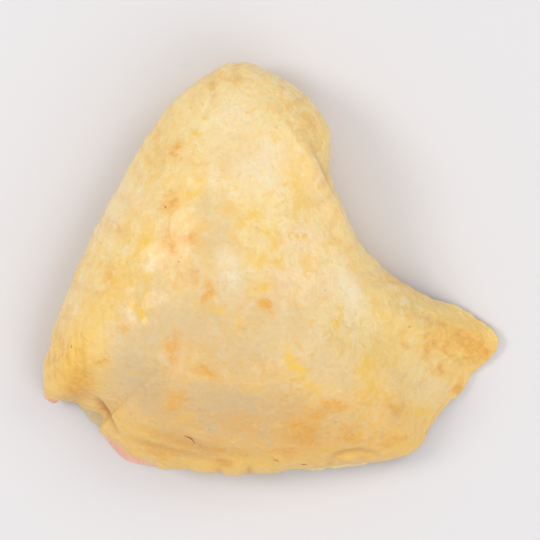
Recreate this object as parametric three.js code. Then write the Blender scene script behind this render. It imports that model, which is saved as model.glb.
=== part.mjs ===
import * as THREE from "three";
import { mergeGeometries, mergeVertices } from "three/addons/utils/BufferGeometryUtils.js";

// A raw chicken thigh lying skin side up: the flesh, and the loose skin draped over it and tucked in
// under its sides. Millimetres, +Z up. The narrow knee end points to +Y, and the broad hip end, where
// the skin was cut, to -Y.

// Driving dimensions
const CROWN_HEIGHT = 36;
const CROWN = new THREE.Vector2(-8, -5);
const CROWN_DOME = 0.55;
const SKIN_THICKNESS = 1.8;
const FLESH_GAP = 0.7;
const FLESH_INSET = SKIN_THICKNESS + FLESH_GAP;
const CUT_FACE_HEIGHT = 4;

// The flesh's underside: the run of the step down to the flat, the least reach of the curl at its rim,
// and the shares of the way out from the crown at which the step and the curl begin.
const UNDER_STEP = 2.5;
const LEAST_CURL = 4;
const TUCK_CLEARANCE = 1;
const STEP_FROM = 0.46;
const CURL_FROM = 0.62;

// The underside rests on three small spots and a flat middle, and is slightly hollow between them.
// The skin's tucked edge lies just clear of the table.
const RESTING_SPOTS = [
  { x: -7, y: 32, flat: 1.5 },
  { x: -32, y: -33, flat: 1.5 },
  { x: 26, y: -34, flat: 1.5 },
  { x: 0, y: 0, flat: 7 },
];
const HOLLOW_RUN = 12;
const HOLLOW_HEIGHT = 0.8;
const TABLE_CLEARANCE = 0.6;

// The broad round near the crown: waves kept of the rim's shape, steps in working them out, and the share
// of the way out from which the rim's own corners begin to show
const BROAD_WAVES = 3;
const BROAD_STEPS = 2000;
const CORNERS_FROM = 0.15;

// Further out the form follows the rim evened out over a stretch to each side, a share of the rim's length,
// and the rim's own notches show only from this share of the way out.
const EVEN_REACH = 0.035;
const EVEN_STEPS = 4;
const NOTCHES_FROM = 0.72;

// Facets across each square grid that is bent into a sheet, and what a full under-curl adds to its path
const SKIN_GRID = 46;
const FLESH_GRID = 32;
const UNDER_CURL_PATH = 0.3;

// The cut hem of the skin is ragged in plan and wavy in height.
const HEM_RIPPLES = [
  { waves: 23, size: 0.28, phase: 1 },
  { waves: 37, size: 0.2, phase: 2.3 },
];
const HEM_WAVES = [{ waves: 15, size: 0.5, phase: 0 }];

// The rim of the skin from above, anticlockwise from the middle of the right side.
// level: height of the widest line. dome: 0.5 falls off like an ellipse, above 1 it flares to a flat flap.
// tuck: reach of the skin in under the flesh. turn: share of that under-curl that is there, 0 at a cut edge.
// pull: how far inside the skin the flesh stops, below 0 where it shows past the skin.
const RIM = [
  { x: 24.5, y: 4.5, level: 9, dome: 0.5, tuck: 10, turn: 0.9, pull: 0 },
  { x: 18.6, y: 14.5, level: 10, dome: 0.48, tuck: 12, turn: 1, pull: 0 },
  { x: 15.4, y: 25.0, level: 10.5, dome: 0.46, tuck: 13, turn: 1, pull: 0 },
  { x: 14.6, y: 34.5, level: 11, dome: 0.46, tuck: 13, turn: 1, pull: 0 },
  { x: 9.6, y: 42.8, level: 12, dome: 0.45, tuck: 14, turn: 1, pull: 0 },
  { x: 1.0, y: 49.2, level: 12, dome: 0.45, tuck: 14, turn: 1, pull: 0 },
  { x: -8.3, y: 52.0, level: 12, dome: 0.45, tuck: 14, turn: 1, pull: 0 },
  { x: -17.5, y: 47.6, level: 12, dome: 0.45, tuck: 14, turn: 1, pull: 0 },
  { x: -27.0, y: 38.3, level: 11, dome: 0.47, tuck: 14, turn: 1, pull: 0 },
  { x: -37.6, y: 21.5, level: 10, dome: 0.5, tuck: 14, turn: 1, pull: 0 },
  { x: -46.8, y: 3.6, level: 9.5, dome: 0.5, tuck: 14, turn: 1, pull: 0 },
  { x: -53.5, y: -13.0, level: 9, dome: 0.52, tuck: 12, turn: 0.9, pull: 0 },
  { x: -57.0, y: -27.0, level: 8, dome: 0.62, tuck: 8, turn: 0.45, pull: 1.5 },
  { x: -55.2, y: -32.2, level: 7, dome: 0.72, tuck: 5, turn: 0.15, pull: 0 },
  { x: -48.4, y: -34.3, level: 6, dome: 0.8, tuck: 4, turn: 0.1, pull: 2.6 },
  { x: -42.2, y: -36.9, level: 6.2, dome: 0.8, tuck: 4, turn: 0, pull: 1.5 },
  { x: -42.6, y: -40.6, level: 7, dome: 0.74, tuck: 4, turn: 0, pull: -1.5 },
  { x: -38.6, y: -44.2, level: 8, dome: 0.7, tuck: 4, turn: 0, pull: -4.4 },
  { x: -32.6, y: -47.4, level: 8.8, dome: 0.66, tuck: 5, turn: 0, pull: -4.4 },
  { x: -27.4, y: -50.1, level: 8.2, dome: 0.62, tuck: 5, turn: 0, pull: -2.4 },
  { x: -21.5, y: -50.3, level: 7.6, dome: 0.58, tuck: 6, turn: 0.3, pull: 2 },
  { x: -9.0, y: -52.0, level: 7, dome: 0.56, tuck: 7, turn: 0.45, pull: 1 },
  { x: 8.6, y: -50.4, level: 6.5, dome: 0.58, tuck: 6, turn: 0.35, pull: 1 },
  { x: 25.6, y: -48.8, level: 5.5, dome: 0.66, tuck: 5, turn: 0.3, pull: 2 },
  { x: 35.6, y: -46.8, level: 4.5, dome: 0.75, tuck: 4, turn: 0.1, pull: 4 },
  { x: 41.8, y: -37.6, level: 3.4, dome: 0.95, tuck: 4, turn: 0, pull: 7 },
  { x: 50.4, y: -27.0, level: 2.6, dome: 1.2, tuck: 4, turn: 0, pull: 12 },
  { x: 57.0, y: -18.6, level: 2.3, dome: 1.3, tuck: 4, turn: 0, pull: 15 },
  { x: 50.4, y: -12.2, level: 2.8, dome: 1.15, tuck: 4, turn: 0, pull: 11 },
  { x: 40.6, y: -7.6, level: 4.5, dome: 0.88, tuck: 6, turn: 0.1, pull: 5 },
  { x: 31.6, y: -2.0, level: 7, dome: 0.65, tuck: 8, turn: 0.6, pull: 1 },
];

// Broad swellings and hollows of the flesh: plan centre, half lengths, turn in degrees, height.
const LUMPS = [
  { x: 12.5, y: 22, long: 18, wide: 4.5, turned: -68, height: 1.6 },
  { x: 14.6, y: 23.5, long: 9, wide: 2.2, turned: -66, height: -0.9 },
  { x: -3, y: 36, long: 12, wide: 9, turned: 10, height: 1.2 },
  { x: -12, y: 6, long: 13, wide: 5, turned: 80, height: -1.3 },
  { x: -30, y: -16, long: 16, wide: 11, turned: 70, height: 0.6 },
  { x: 6, y: -22, long: 16, wide: 10, turned: -30, height: 1.4 },
  { x: 27, y: -14, long: 13, wide: 5, turned: -35, height: -2.2 },
  { x: 31, y: -32, long: 10, wide: 6, turned: -40, height: 1.3 },
  { x: -50, y: -20, long: 10, wide: 4, turned: 75, height: 1.0 },
];

// Folds of the skin, each a curve through three plan points; a depth below 0 is a raised pleat.
const FOLDS = [
  { path: [[9.2, 34], [13.2, 24.8], [17.8, 13.8]], width: 1, depth: 1.2 },
  { path: [[7, 32.5], [11.4, 22], [19.8, 6]], width: 1.9, depth: -1.4 },
  { path: [[-44.2, -31.6], [-40.8, -36.4], [-38.2, -41.2]], width: 0.8, depth: 1.3 },
  { path: [[-43.6, -18], [-44.2, -27], [-41.4, -36.5]], width: 3, depth: 0.3 },
  { path: [[-44.4, -34], [-42.4, -37.2], [-40.4, -40.4]], width: 0.9, depth: -0.6 },
  { path: [[-38, -41], [-26, -44.8], [-9, -48.6]], width: 1.3, depth: 0.9 },
  { path: [[-33, -38], [-19, -43.6], [2, -47.2]], width: 1.5, depth: 0.9 },
  { path: [[13, -48.4], [21, -45.2], [29, -47.4]], width: 0.9, depth: 1 },
  { path: [[14, -49.8], [21.4, -47.4], [28, -48.8]], width: 1.5, depth: -0.5 },
  { path: [[40, -17], [46, -20.5], [52.5, -23]], width: 2, depth: -0.7 },
  { path: [[28, -21], [33.6, -27], [42, -30]], width: 2.4, depth: 0.4 },
];
const FOLD_STEPS = 24;

const smooth = (from, to, value) => THREE.MathUtils.smoothstep(value, from, to);

function closedCurve(columns) {
  const curve = new THREE.CatmullRomCurve3(
    RIM.map((row) => new THREE.Vector3(...columns.map((name) => row[name]))),
    true,
    "catmullrom",
  );
  curve.arcLengthDivisions = RIM.length * 40;
  return curve;
}
const rimPlan = closedCurve(["x", "y", "level"]);
const rimSection = closedCurve(["dome", "tuck", "turn"]);
const rimFlesh = closedCurve(["pull", "pull", "pull"]);

function waveSum(list, u) {
  const parts = list.map(({ waves, size, phase }) => size * Math.sin(2 * Math.PI * waves * u + phase));
  return parts.reduce((sum, part) => sum + part, 0);
}

// The rim's distance from the crown as its first few waves round the crown: how far each one swings as a
// cosine and as a sine of the direction.
function broadWaves() {
  const outs = rimPlan.getSpacedPoints(BROAD_STEPS).map((p) => new THREE.Vector2(p.x, p.y).sub(CROWN));
  const waves = [];
  for (let count = 0; count <= BROAD_WAVES; count++) {
    const swing = { cosine: 0, sine: 0 };
    for (let i = 0; i < BROAD_STEPS; i++) {
      const [from, to] = [outs[i], outs[i + 1]];
      const step = Math.atan2(from.cross(to), from.dot(to));
      const direction = from.angle() + step / 2;
      const share = ((from.length() + to.length()) / 2) * (step / (count === 0 ? 2 * Math.PI : Math.PI));
      swing.cosine += share * Math.cos(count * direction);
      swing.sine += share * Math.sin(count * direction);
    }
    waves.push(swing);
  }
  return waves;
}
const broad = broadWaves();

function broadRadius(direction) {
  const parts = broad.map(({ cosine, sine }, count) => {
    return cosine * Math.cos(count * direction) + sine * Math.sin(count * direction);
  });
  return parts.reduce((sum, part) => sum + part, 0);
}

// The rim's distance from the crown, averaged over the stretch to each side of a share u of its length.
function evenedRadius(u) {
  let sum = 0;
  for (let i = -EVEN_STEPS; i <= EVEN_STEPS; i++) {
    const share = THREE.MathUtils.euclideanModulo(u + (i / EVEN_STEPS) * EVEN_REACH, 1);
    const point = rimPlan.getPointAt(share);
    sum += Math.hypot(point.x - CROWN.x, point.y - CROWN.y);
  }
  return sum / (2 * EVEN_STEPS + 1);
}

// Everything the sections need at a share u of the way round the rim.
function rimAt(u) {
  const t = rimPlan.getUtoTmapping(THREE.MathUtils.euclideanModulo(u, 1));
  const plan = rimPlan.getPoint(t);
  const section = rimSection.getPoint(t);
  const out = new THREE.Vector2(plan.x, plan.y).sub(CROWN);
  const turn = THREE.MathUtils.clamp(section.z, 0, 1);
  return {
    broadRadius: broadRadius(out.angle()),
    evenedRadius: evenedRadius(u),
    radius: out.length() + waveSum(HEM_RIPPLES, u) * (1 - turn),
    out: out.normalize(),
    level: plan.z + waveSum(HEM_WAVES, u) * (1 - turn),
    dome: section.x,
    tuck: section.y,
    turn,
    flat: smooth(0.7, 1.05, section.x),
    pull: rimFlesh.getPoint(t).x,
  };
}

function lumpHeight(x, y) {
  let height = 0;
  for (const lump of LUMPS) {
    const angle = THREE.MathUtils.degToRad(lump.turned);
    const along = (x - lump.x) * Math.cos(angle) + (y - lump.y) * Math.sin(angle);
    const across = (y - lump.y) * Math.cos(angle) - (x - lump.x) * Math.sin(angle);
    height += lump.height * Math.exp(-((along / lump.long) ** 2) - (across / lump.wide) ** 2);
  }
  return height;
}

const foldLines = FOLDS.map(({ path, width, depth }) => {
  const [start, middle, end] = path.map((p) => new THREE.Vector2(...p));
  const control = middle.clone().multiplyScalar(2).addScaledVector(start.clone().add(end), -0.5);
  return { points: new THREE.QuadraticBezierCurve(start, control, end).getPoints(FOLD_STEPS), width, depth };
});

// A fold is deepest at its middle and fades out at its ends.
function foldHeight(x, y) {
  let height = 0;
  for (const { points, width, depth } of foldLines) {
    let strongest = 0;
    points.forEach((point, i) => {
      const fade = Math.sin((Math.PI * i) / FOLD_STEPS) ** 0.6;
      const distance = Math.hypot(x - point.x, y - point.y);
      strongest = Math.max(strongest, fade * Math.exp(-((distance / width) ** 2)));
    });
    height -= depth * strongest;
  }
  return height;
}

// Height of the skin's own surface at a plan distance from the crown. Near the crown the form keeps to a
// broad round, further out to the evened rim, and only at the edge to the rim itself.
function domeHeight(row, distance, top, radius, level) {
  const nearRim = smooth(CORNERS_FROM, 1, distance / radius);
  const inset = row.radius - radius;
  const inner = THREE.MathUtils.lerp(row.broadRadius, row.evenedRadius, nearRim) - inset;
  const reach = THREE.MathUtils.lerp(inner, radius, smooth(NOTCHES_FROM, 1, distance / radius));
  const dome = THREE.MathUtils.lerp(CROWN_DOME, row.dome, nearRim);
  return level + (top - level) * Math.max(0, 1 - (distance / reach) ** 2) ** dome;
}

function placed(row, distance, z, angle, lift) {
  const point = CROWN.clone().addScaledVector(row.out, distance);
  const facingUp = 1 - smooth(1.2, 1.5, angle);
  const rise = lift(point.x, point.y) * facingUp;
  point.addScaledVector(row.out, rise * Math.sin(angle));
  return new THREE.Vector3(point.x, point.y, z + rise * Math.cos(angle));
}

// One side of the skin: inset 0 is the outside, the skin's thickness is the inside.
function skinPoint(u, reach, inset, lift) {
  const row = rimAt(u);
  const radius = row.radius - inset * (1 - row.flat);
  const level = row.level - inset * row.flat;
  const upperShare = 1 / (1 + UNDER_CURL_PATH * row.turn);
  if (reach <= upperShare) {
    const share = reach / upperShare;
    const angle = THREE.MathUtils.lerp(share * (Math.PI / 2), Math.asin(share), row.flat);
    const distance = radius * Math.sin(angle);
    return placed(row, distance, domeHeight(row, distance, CROWN_HEIGHT - inset, radius, level), angle, lift);
  }
  const curl = ((reach - upperShare) / (1 - upperShare)) * row.turn * (Math.PI / 2);
  const distance = radius - (row.tuck - inset * (1 - row.flat)) * (1 - Math.cos(curl));
  const z = level - (level - inset - TABLE_CLEARANCE) * Math.sin(curl);
  return placed(row, distance, z, Math.PI / 2 + curl, lift);
}

function fleshRow(u) {
  const row = rimAt(u);
  row.fleshRadius = row.radius - FLESH_INSET * (1 - row.flat) - row.pull;
  row.fleshLevel = row.level * row.turn + CUT_FACE_HEIGHT * (1 - row.turn);
  row.sink = Math.max(0, -row.pull) / 2;
  return row;
}

// The flesh follows the inside of the skin, and rounds off where it stops.
function fleshUpper(u, reach) {
  const row = fleshRow(u);
  const angle = reach * (Math.PI / 2);
  const distance = row.fleshRadius * Math.sin(angle);
  const edge = distance / row.fleshRadius;
  const under = FLESH_INSET + row.sink * edge ** 4;
  const follow = domeHeight(row, distance, CROWN_HEIGHT, row.radius, row.level) - under;
  const z = row.fleshLevel + Math.max(0, follow - row.fleshLevel) * Math.sqrt(Math.max(0, 1 - edge ** 8));
  return placed(row, distance, z, angle, lumpHeight);
}

// How far the underside stands off the table, inside the step.
function underHollow(x, y) {
  const away = RESTING_SPOTS.map((spot) => {
    const beyond = Math.hypot(x - spot.x, y - spot.y) - spot.flat;
    return THREE.MathUtils.clamp(beyond / HOLLOW_RUN, 0, 1);
  });
  return HOLLOW_HEIGHT * away.reduce((product, share) => product * share, 1);
}

// Below, it curls in over the tucked skin and then steps down to the part it rests on.
function fleshUnder(u, reach) {
  if (reach === 1) return fleshUpper(u, 1);
  const row = fleshRow(u);
  const overTuck = FLESH_INSET + TABLE_CLEARANCE;
  const shelf = THREE.MathUtils.lerp(HOLLOW_HEIGHT, overTuck, smooth(0.1, 0.5, row.turn));
  const tuckEnd = row.radius - row.tuck * smooth(0, 0.4, row.turn);
  const curlEnd = Math.min(row.fleshRadius - LEAST_CURL, tuckEnd - TUCK_CLEARANCE);
  const flatEnd = curlEnd - UNDER_STEP;
  if (reach >= CURL_FROM) {
    const curl = ((1 - reach) / (1 - CURL_FROM)) * (Math.PI / 2);
    const distance = curlEnd + (row.fleshRadius - curlEnd) * Math.cos(curl);
    const z = shelf + (row.fleshLevel - shelf) * (1 - Math.sin(curl));
    return placed(row, distance, z, Math.PI, lumpHeight);
  }
  const step = smooth(STEP_FROM, CURL_FROM, reach);
  const distance = reach > STEP_FROM
    ? THREE.MathUtils.mapLinear(reach, STEP_FROM, CURL_FROM, flatEnd, curlEnd)
    : (flatEnd * reach) / STEP_FROM;
  const point = placed(row, distance, 0, Math.PI, lumpHeight);
  return point.setZ(THREE.MathUtils.lerp(underHollow(point.x, point.y), shelf, step));
}

// A square grid bent over the form: its middle goes to the crown and its border to the rim.
function bentGrid(cells, pointAt) {
  const grid = new THREE.PlaneGeometry(2, 2, cells, cells);
  const position = grid.getAttribute("position");
  for (let i = 0; i < position.count; i++) {
    const a = position.getX(i);
    const b = position.getY(i);
    const reach = Math.max(Math.abs(a), Math.abs(b));
    let eighths = 0;
    if (reach > 0) eighths = Math.abs(a) >= Math.abs(b) ? b / a : 2 - a / b;
    const opposite = Math.abs(a) >= Math.abs(b) ? a < 0 : b < 0;
    position.setXYZ(i, ...pointAt(eighths / 8 + (opposite ? 0.5 : 0), reach));
  }
  grid.deleteAttribute("uv");
  grid.deleteAttribute("normal");
  grid.setIndex(shortDiagonals(position, cells));
  return grid;
}

// Each cell of a grid is cut in two along its shorter diagonal.
function shortDiagonals(position, cells) {
  const corner = (i) => new THREE.Vector3().fromBufferAttribute(position, i);
  const triangles = [];
  for (let row = 0; row < cells; row++) {
    for (let column = 0; column < cells; column++) {
      const a = row * (cells + 1) + column;
      const [b, c, d] = [a + 1, a + cells + 1, a + cells + 2];
      const cutBC = corner(b).distanceTo(corner(c)) < corner(a).distanceTo(corner(d));
      triangles.push(...(cutBC ? [a, c, b, c, d, b] : [a, c, d, a, d, b]));
    }
  }
  return triangles;
}

function faceDown(geometry) {
  geometry.index.array.reverse();
  return geometry;
}

function solidMesh(name, upper, lower, material) {
  const geometry = mergeVertices(mergeGeometries([upper, faceDown(lower)]), 1e-3);
  geometry.computeVertexNormals();
  const mesh = new THREE.Mesh(geometry, material);
  mesh.name = name;
  return mesh;
}

function makeSkin(material) {
  const rings = SKIN_GRID / 2;
  const hemRing = (rings - 1) / rings;
  const relief = (x, y) => lumpHeight(x, y) + foldHeight(x, y);
  const inside = (u, reach) => skinPoint(u, reach, SKIN_THICKNESS, lumpHeight);
  const outside = (u, reach) => reach > hemRing + 1e-6
    ? inside(u, 1)
    : skinPoint(u, Math.min(1, reach / hemRing), 0, relief);
  return solidMesh("skin", bentGrid(SKIN_GRID, outside), bentGrid(SKIN_GRID, inside), material);
}

function makeFlesh(material) {
  return solidMesh("flesh", bentGrid(FLESH_GRID, fleshUpper), bentGrid(FLESH_GRID, fleshUnder), material);
}

const skinMaterial = new THREE.MeshStandardMaterial({ color: 0xeac788, roughness: 0.45, metalness: 0 });
const fleshMaterial = new THREE.MeshStandardMaterial({ color: 0xd98f7c, roughness: 0.4, metalness: 0 });

const thigh = new THREE.Group();
thigh.add(makeFlesh(fleshMaterial), makeSkin(skinMaterial));

// The origin is the middle of the footprint, on the resting plane.
const bounds = new THREE.Box3().setFromObject(thigh);
const middle = bounds.getCenter(new THREE.Vector3());
thigh.children.forEach((mesh) => mesh.position.set(-middle.x, -middle.y, -bounds.min.z));

export default thigh;
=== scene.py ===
"""A raw chicken thigh lying skin side up: pink flesh under a loose, cream-yellow skin with a ragged hem.

The forms are worked out in millimetres and turned to metres as each mesh is made.
"""
import math

import bpy
import numpy as np
from mathutils import Matrix, Vector, noise
from mathutils.bvhtree import BVHTree


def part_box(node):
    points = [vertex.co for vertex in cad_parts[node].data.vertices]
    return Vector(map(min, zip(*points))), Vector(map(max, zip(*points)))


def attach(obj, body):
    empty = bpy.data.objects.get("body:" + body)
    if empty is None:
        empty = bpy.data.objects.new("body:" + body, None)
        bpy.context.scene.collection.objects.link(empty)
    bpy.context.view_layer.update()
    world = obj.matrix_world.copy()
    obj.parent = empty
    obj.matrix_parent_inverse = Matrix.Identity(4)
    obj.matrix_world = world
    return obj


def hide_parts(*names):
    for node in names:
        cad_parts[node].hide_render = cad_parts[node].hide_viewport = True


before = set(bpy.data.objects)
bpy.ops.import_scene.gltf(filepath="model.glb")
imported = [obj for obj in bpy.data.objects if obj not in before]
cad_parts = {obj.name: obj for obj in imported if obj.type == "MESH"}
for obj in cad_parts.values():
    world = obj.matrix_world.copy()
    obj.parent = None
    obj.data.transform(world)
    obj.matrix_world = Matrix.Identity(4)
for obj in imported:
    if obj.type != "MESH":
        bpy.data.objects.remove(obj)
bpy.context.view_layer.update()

MM = 0.001

# Sizes shared by the skin and the flesh
CROWN_HEIGHT = 36.0
CROWN = np.array([-8.0, -5.0])
CROWN_DOME = 0.55
SKIN_THICKNESS = 1.8
FLESH_GAP = 0.7
FLESH_INSET = SKIN_THICKNESS + FLESH_GAP
CUT_FACE_HEIGHT = 4.0
TABLE_CLEARANCE = 0.6

# The broad round near the crown: waves kept of the rim's shape, steps in working them out, and the share of
# the way out from which the rim's own corners begin to show
BROAD_WAVES = 3
BROAD_STEPS = 2000
CORNERS_FROM = 0.15

# Further out the form follows the rim evened out over a stretch to each side, a share of the rim's length,
# and the rim's own notches show only from this share of the way out.
EVEN_REACH = 0.035
EVEN_STEPS = 4
NOTCHES_FROM = 0.72

# The flesh's underside: the run of the step down to the flat, the least reach of the curl at its rim, the
# room left beside the tucked skin, and the shares of the way out at which the step and the curl begin
UNDER_STEP = 2.5
LEAST_CURL = 4.0
TUCK_CLEARANCE = 1.0
STEP_FROM = 0.46
CURL_FROM = 0.62

# Shares of the skin's under-curl between which the flesh makes room for it, upwards and inwards
ROOM_ABOVE = (0.1, 0.5)
ROOM_WITHIN = (0, 0.4)

# The underside is slightly hollow between the places where it rests: x, y, radius of the flat.
RESTING_SPOTS = ((-7, 32, 1.5), (-32, -33, 1.5), (26, -34, 1.5), (0, 0, 7))
HOLLOW_HEIGHT = 0.8
HOLLOW_RUN = 12.0

# Cells across the square grids that are bent into sheets, what a full under-curl adds to the skin's path, and
# the steps and the bulge of the hem's rounded edge
SKIN_GRID = 200
FLESH_GRID = 140
UNDER_CURL_PATH = 0.3
HEM_RINGS = 4
HEM_BULGE = 0.45

# Domes between which the skin's side turns into a flat flap, angles of the section in radians between which
# swellings and folds fade out down its side, and steps in measuring the rim, from row to row and right round
FLAP_DOMES = (0.7, 1.05)
LIFT_FADE = (1.2, 1.5)
ROW_STEPS = 40
RIM_STEPS = 4000

# The rim from above, anticlockwise from the middle of the right side: x, y, height of the widest line, dome
# (0.5 like an ellipse, above 1 a flat flap), reach of the tuck, share of the under-curl, pull of the flesh
RIM = np.array([
    (24.5, 4.5, 9, 0.5, 10, 0.9, 0),
    (18.6, 14.5, 10, 0.48, 12, 1, 0),
    (15.4, 25, 10.5, 0.46, 13, 1, 0),
    (14.6, 34.5, 11, 0.46, 13, 1, 0),
    (9.6, 42.8, 12, 0.45, 14, 1, 0),
    (1, 49.2, 12, 0.45, 14, 1, 0),
    (-8.3, 52, 12, 0.45, 14, 1, 0),
    (-17.5, 47.6, 12, 0.45, 14, 1, 0),
    (-27, 38.3, 11, 0.47, 14, 1, 0),
    (-37.6, 21.5, 10, 0.5, 14, 1, 0),
    (-46.8, 3.6, 9.5, 0.5, 14, 1, 0),
    (-53.5, -13, 9, 0.52, 12, 0.9, 0),
    (-57, -27, 8, 0.62, 8, 0.45, 1.5),
    (-55.2, -32.2, 7, 0.72, 5, 0.15, 0),
    (-48.4, -34.3, 6, 0.8, 4, 0.1, 2.6),
    (-42.2, -36.9, 6.2, 0.8, 4, 0, 1.5),
    (-42.6, -40.6, 7, 0.74, 4, 0, -1.5),
    (-38.6, -44.2, 8, 0.7, 4, 0, -4.4),
    (-32.6, -47.4, 8.8, 0.66, 5, 0, -4.4),
    (-27.4, -50.1, 8.2, 0.62, 5, 0, -2.4),
    (-21.5, -50.3, 7.6, 0.58, 6, 0.3, 2),
    (-9, -52, 7, 0.56, 7, 0.45, 1),
    (8.6, -50.4, 6.5, 0.58, 6, 0.35, 1),
    (25.6, -48.8, 5.5, 0.66, 5, 0.3, 2),
    (35.6, -46.8, 4.5, 0.75, 4, 0.1, 4),
    (41.8, -37.6, 3.4, 0.95, 4, 0, 7),
    (50.4, -27, 2.6, 1.2, 4, 0, 12),
    (57, -18.6, 2.3, 1.3, 4, 0, 15),
    (50.4, -12.2, 2.8, 1.15, 4, 0, 11),
    (40.6, -7.6, 4.5, 0.88, 6, 0.1, 5),
    (31.6, -2, 7, 0.65, 8, 0.6, 1),
])

# The cut hem is ragged in plan and wavy in height: waves round the rim, size, phase.
HEM_RIPPLES = ((23, 0.28, 1), (37, 0.2, 2.3))
HEM_WAVES = ((15, 0.5, 0),)

# Swellings and hollows: x, y, half length, half width, turn in degrees, height
LUMPS = (
    (12.5, 22, 18, 4.5, -68, 1.6),
    (14.6, 23.5, 9, 2.2, -66, -0.9),
    (-3, 36, 12, 9, 10, 1.2),
    (-12, 6, 13, 5, 80, -1.3),
    (-30, -16, 16, 11, 70, 0.6),
    (6, -22, 16, 10, -30, 1.4),
    (27, -14, 13, 5, -35, -2.2),
    (31, -32, 10, 6, -40, 1.3),
    (-50, -20, 10, 4, 75, 1),
)

# Folds of the skin, each through three points: the points, width, depth (below 0 a raised pleat)
FOLDS = (
    ((9.2, 34), (13.2, 24.8), (17.8, 13.8), 1, 1.2),
    ((7, 32.5), (11.4, 22), (19.8, 6), 1.9, -1.4),
    ((-44.2, -31.6), (-40.8, -36.4), (-38.2, -41.2), 0.8, 1.3),
    ((-43.6, -18), (-44.2, -27), (-41.4, -36.5), 3, 0.3),
    ((-44.4, -34), (-42.4, -37.2), (-40.4, -40.4), 0.9, -0.6),
    ((-38, -41), (-26, -44.8), (-9, -48.6), 1.3, 0.9),
    ((-33, -38), (-19, -43.6), (2, -47.2), 1.5, 0.9),
    ((13, -48.4), (21, -45.2), (29, -47.4), 0.9, 1),
    ((14, -49.8), (21.4, -47.4), (28, -48.8), 1.5, -0.5),
    ((40, -17), (46, -20.5), (52.5, -23), 2, -0.7),
    ((28, -21), (33.6, -27), (42, -30), 2.4, 0.4),
)

# Steps along a fold, a wrinkle and a gather, and how blunt their ends are
FOLD_STEPS = 24
WRINKLE_STEPS = 40
GATHER_STEPS = 12
GROOVE_END = 0.6

# Thin wrinkles where the skin is gathered, in rows: first path, last path, how many, width, depth. Each one
# bends a little to one side and back.
WRINKLE_BEND = 0.5
WRINKLE_ROWS = (
    (((-53.5, -10), (-55.6, -20), (-54.6, -30)), ((-46, -12), (-46.5, -22), (-45.5, -31)), 7, 0.6, 0.5),
    (((36, -9.5), (43, -13), (52, -17)), ((38, -16.5), (44.5, -21), (50, -26)), 6, 0.7, 0.55),
    (((42.5, -20.6), (44.6, -23.4), (46, -26.4)), ((48.8, -19.8), (50.2, -22.6), (51.6, -25.6)),
     4, 0.55, -0.35),
    (((6, 42), (11, 36.5), (13, 29)), ((0, 41), (6, 36), (9.5, 28)), 5, 0.6, 0.3),
    (((-33, -38.5), (-22, -44.5), (-8, -48.5)), ((-27, -37), (-16, -42.5), (-3, -45)), 4, 0.8, 0.3),
    (((18, -40), (24, -44.5), (33, -44)), ((20, -36), (27, -40.5), (35, -40)), 4, 0.7, 0.25),
)

# Gathers that cross the rim where the skin is drawn in under the thigh: first and last plan point on the rim,
# how many, length, width, depth. They start a little past the rim, lean by a share of the rim's length, and
# bend the more, the more they lean.
GATHER_OVERHANG = 1.5
GATHER_LEAN = 0.006
GATHER_BEND = 60
GATHERS = (
    ((17, 20), (15, 33), 5, 8, 0.8, 0.35),
    ((12, 39), (-20, 45.5), 11, 9, 0.9, 0.35),
    ((-24, 41), (-54, -14), 17, 10, 1, 0.32),
    ((-24, -50.4), (32, -47.6), 15, 5.5, 0.8, 0.4),
    ((34, -4), (22, 9), 6, 8, 0.9, 0.4),
)


def smooth(start, end, value):
    """0 below start, 1 above end, and a smooth step between."""
    share = np.clip((value - start) / (end - start), 0, 1)
    return share * share * (3 - 2 * share)


def through(rows, t):
    """The closed Catmull-Rom curve through rows, at shares t of its own parameter."""
    count = len(rows)
    at = (np.asarray(t) % 1) * count
    first = np.floor(at).astype(int)
    w = (at - first)[:, None]
    before, here, after, beyond = (rows[(first + k) % count] for k in (-1, 0, 1, 2))
    slope_here = (after - before) / 2
    slope_after = (beyond - here) / 2
    return ((2 * here - 2 * after + slope_here + slope_after) * w ** 3
            + (-3 * here + 3 * after - 2 * slope_here - slope_after) * w ** 2
            + slope_here * w + here)


def rim_table():
    """Dense shares of the curve's parameter, and how far along the rim each one is."""
    t = np.linspace(0, 1, len(RIM) * ROW_STEPS + 1)
    line = through(RIM[:, :3], t)
    along = np.concatenate(([0], np.cumsum(np.linalg.norm(np.diff(line, axis=0), axis=1))))
    return t, along


RIM_T, RIM_ALONG = rim_table()
RIM_LENGTH = RIM_ALONG[-1]


def wave_sum(waves, u):
    return sum(size * np.sin(2 * math.pi * count * u + phase) for count, size, phase in waves)


def broad_waves():
    """The rim's distance from the crown as its first few waves round the crown."""
    along = np.linspace(0, RIM_LENGTH, BROAD_STEPS + 1)
    out = through(RIM[:, :2], np.interp(along, RIM_ALONG, RIM_T)) - CROWN
    turned = np.unwrap(np.arctan2(out[:, 1], out[:, 0]))
    radius = np.linalg.norm(out, axis=1)
    step = np.diff(turned)
    mean_radius = (radius[1:] + radius[:-1]) / 2
    mean_turn = (turned[1:] + turned[:-1]) / 2
    waves = []
    for count in range(BROAD_WAVES + 1):
        whole = 2 * math.pi if count == 0 else math.pi
        parts = (wave(count * mean_turn) for wave in (np.cos, np.sin))
        waves.append([np.sum(mean_radius * part * step) / whole for part in parts])
    return waves


BROAD = broad_waves()


def evened_radius(u):
    """The rim's distance from the crown, averaged over a stretch to each side."""
    steps = np.linspace(-EVEN_REACH, EVEN_REACH, 2 * EVEN_STEPS + 1)
    shares = ((u + step) % 1 * RIM_LENGTH for step in steps)
    rims = (through(RIM[:, :2], np.interp(share, RIM_ALONG, RIM_T)) for share in shares)
    return sum(np.linalg.norm(rim - CROWN, axis=1) for rim in rims) / len(steps)


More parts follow.
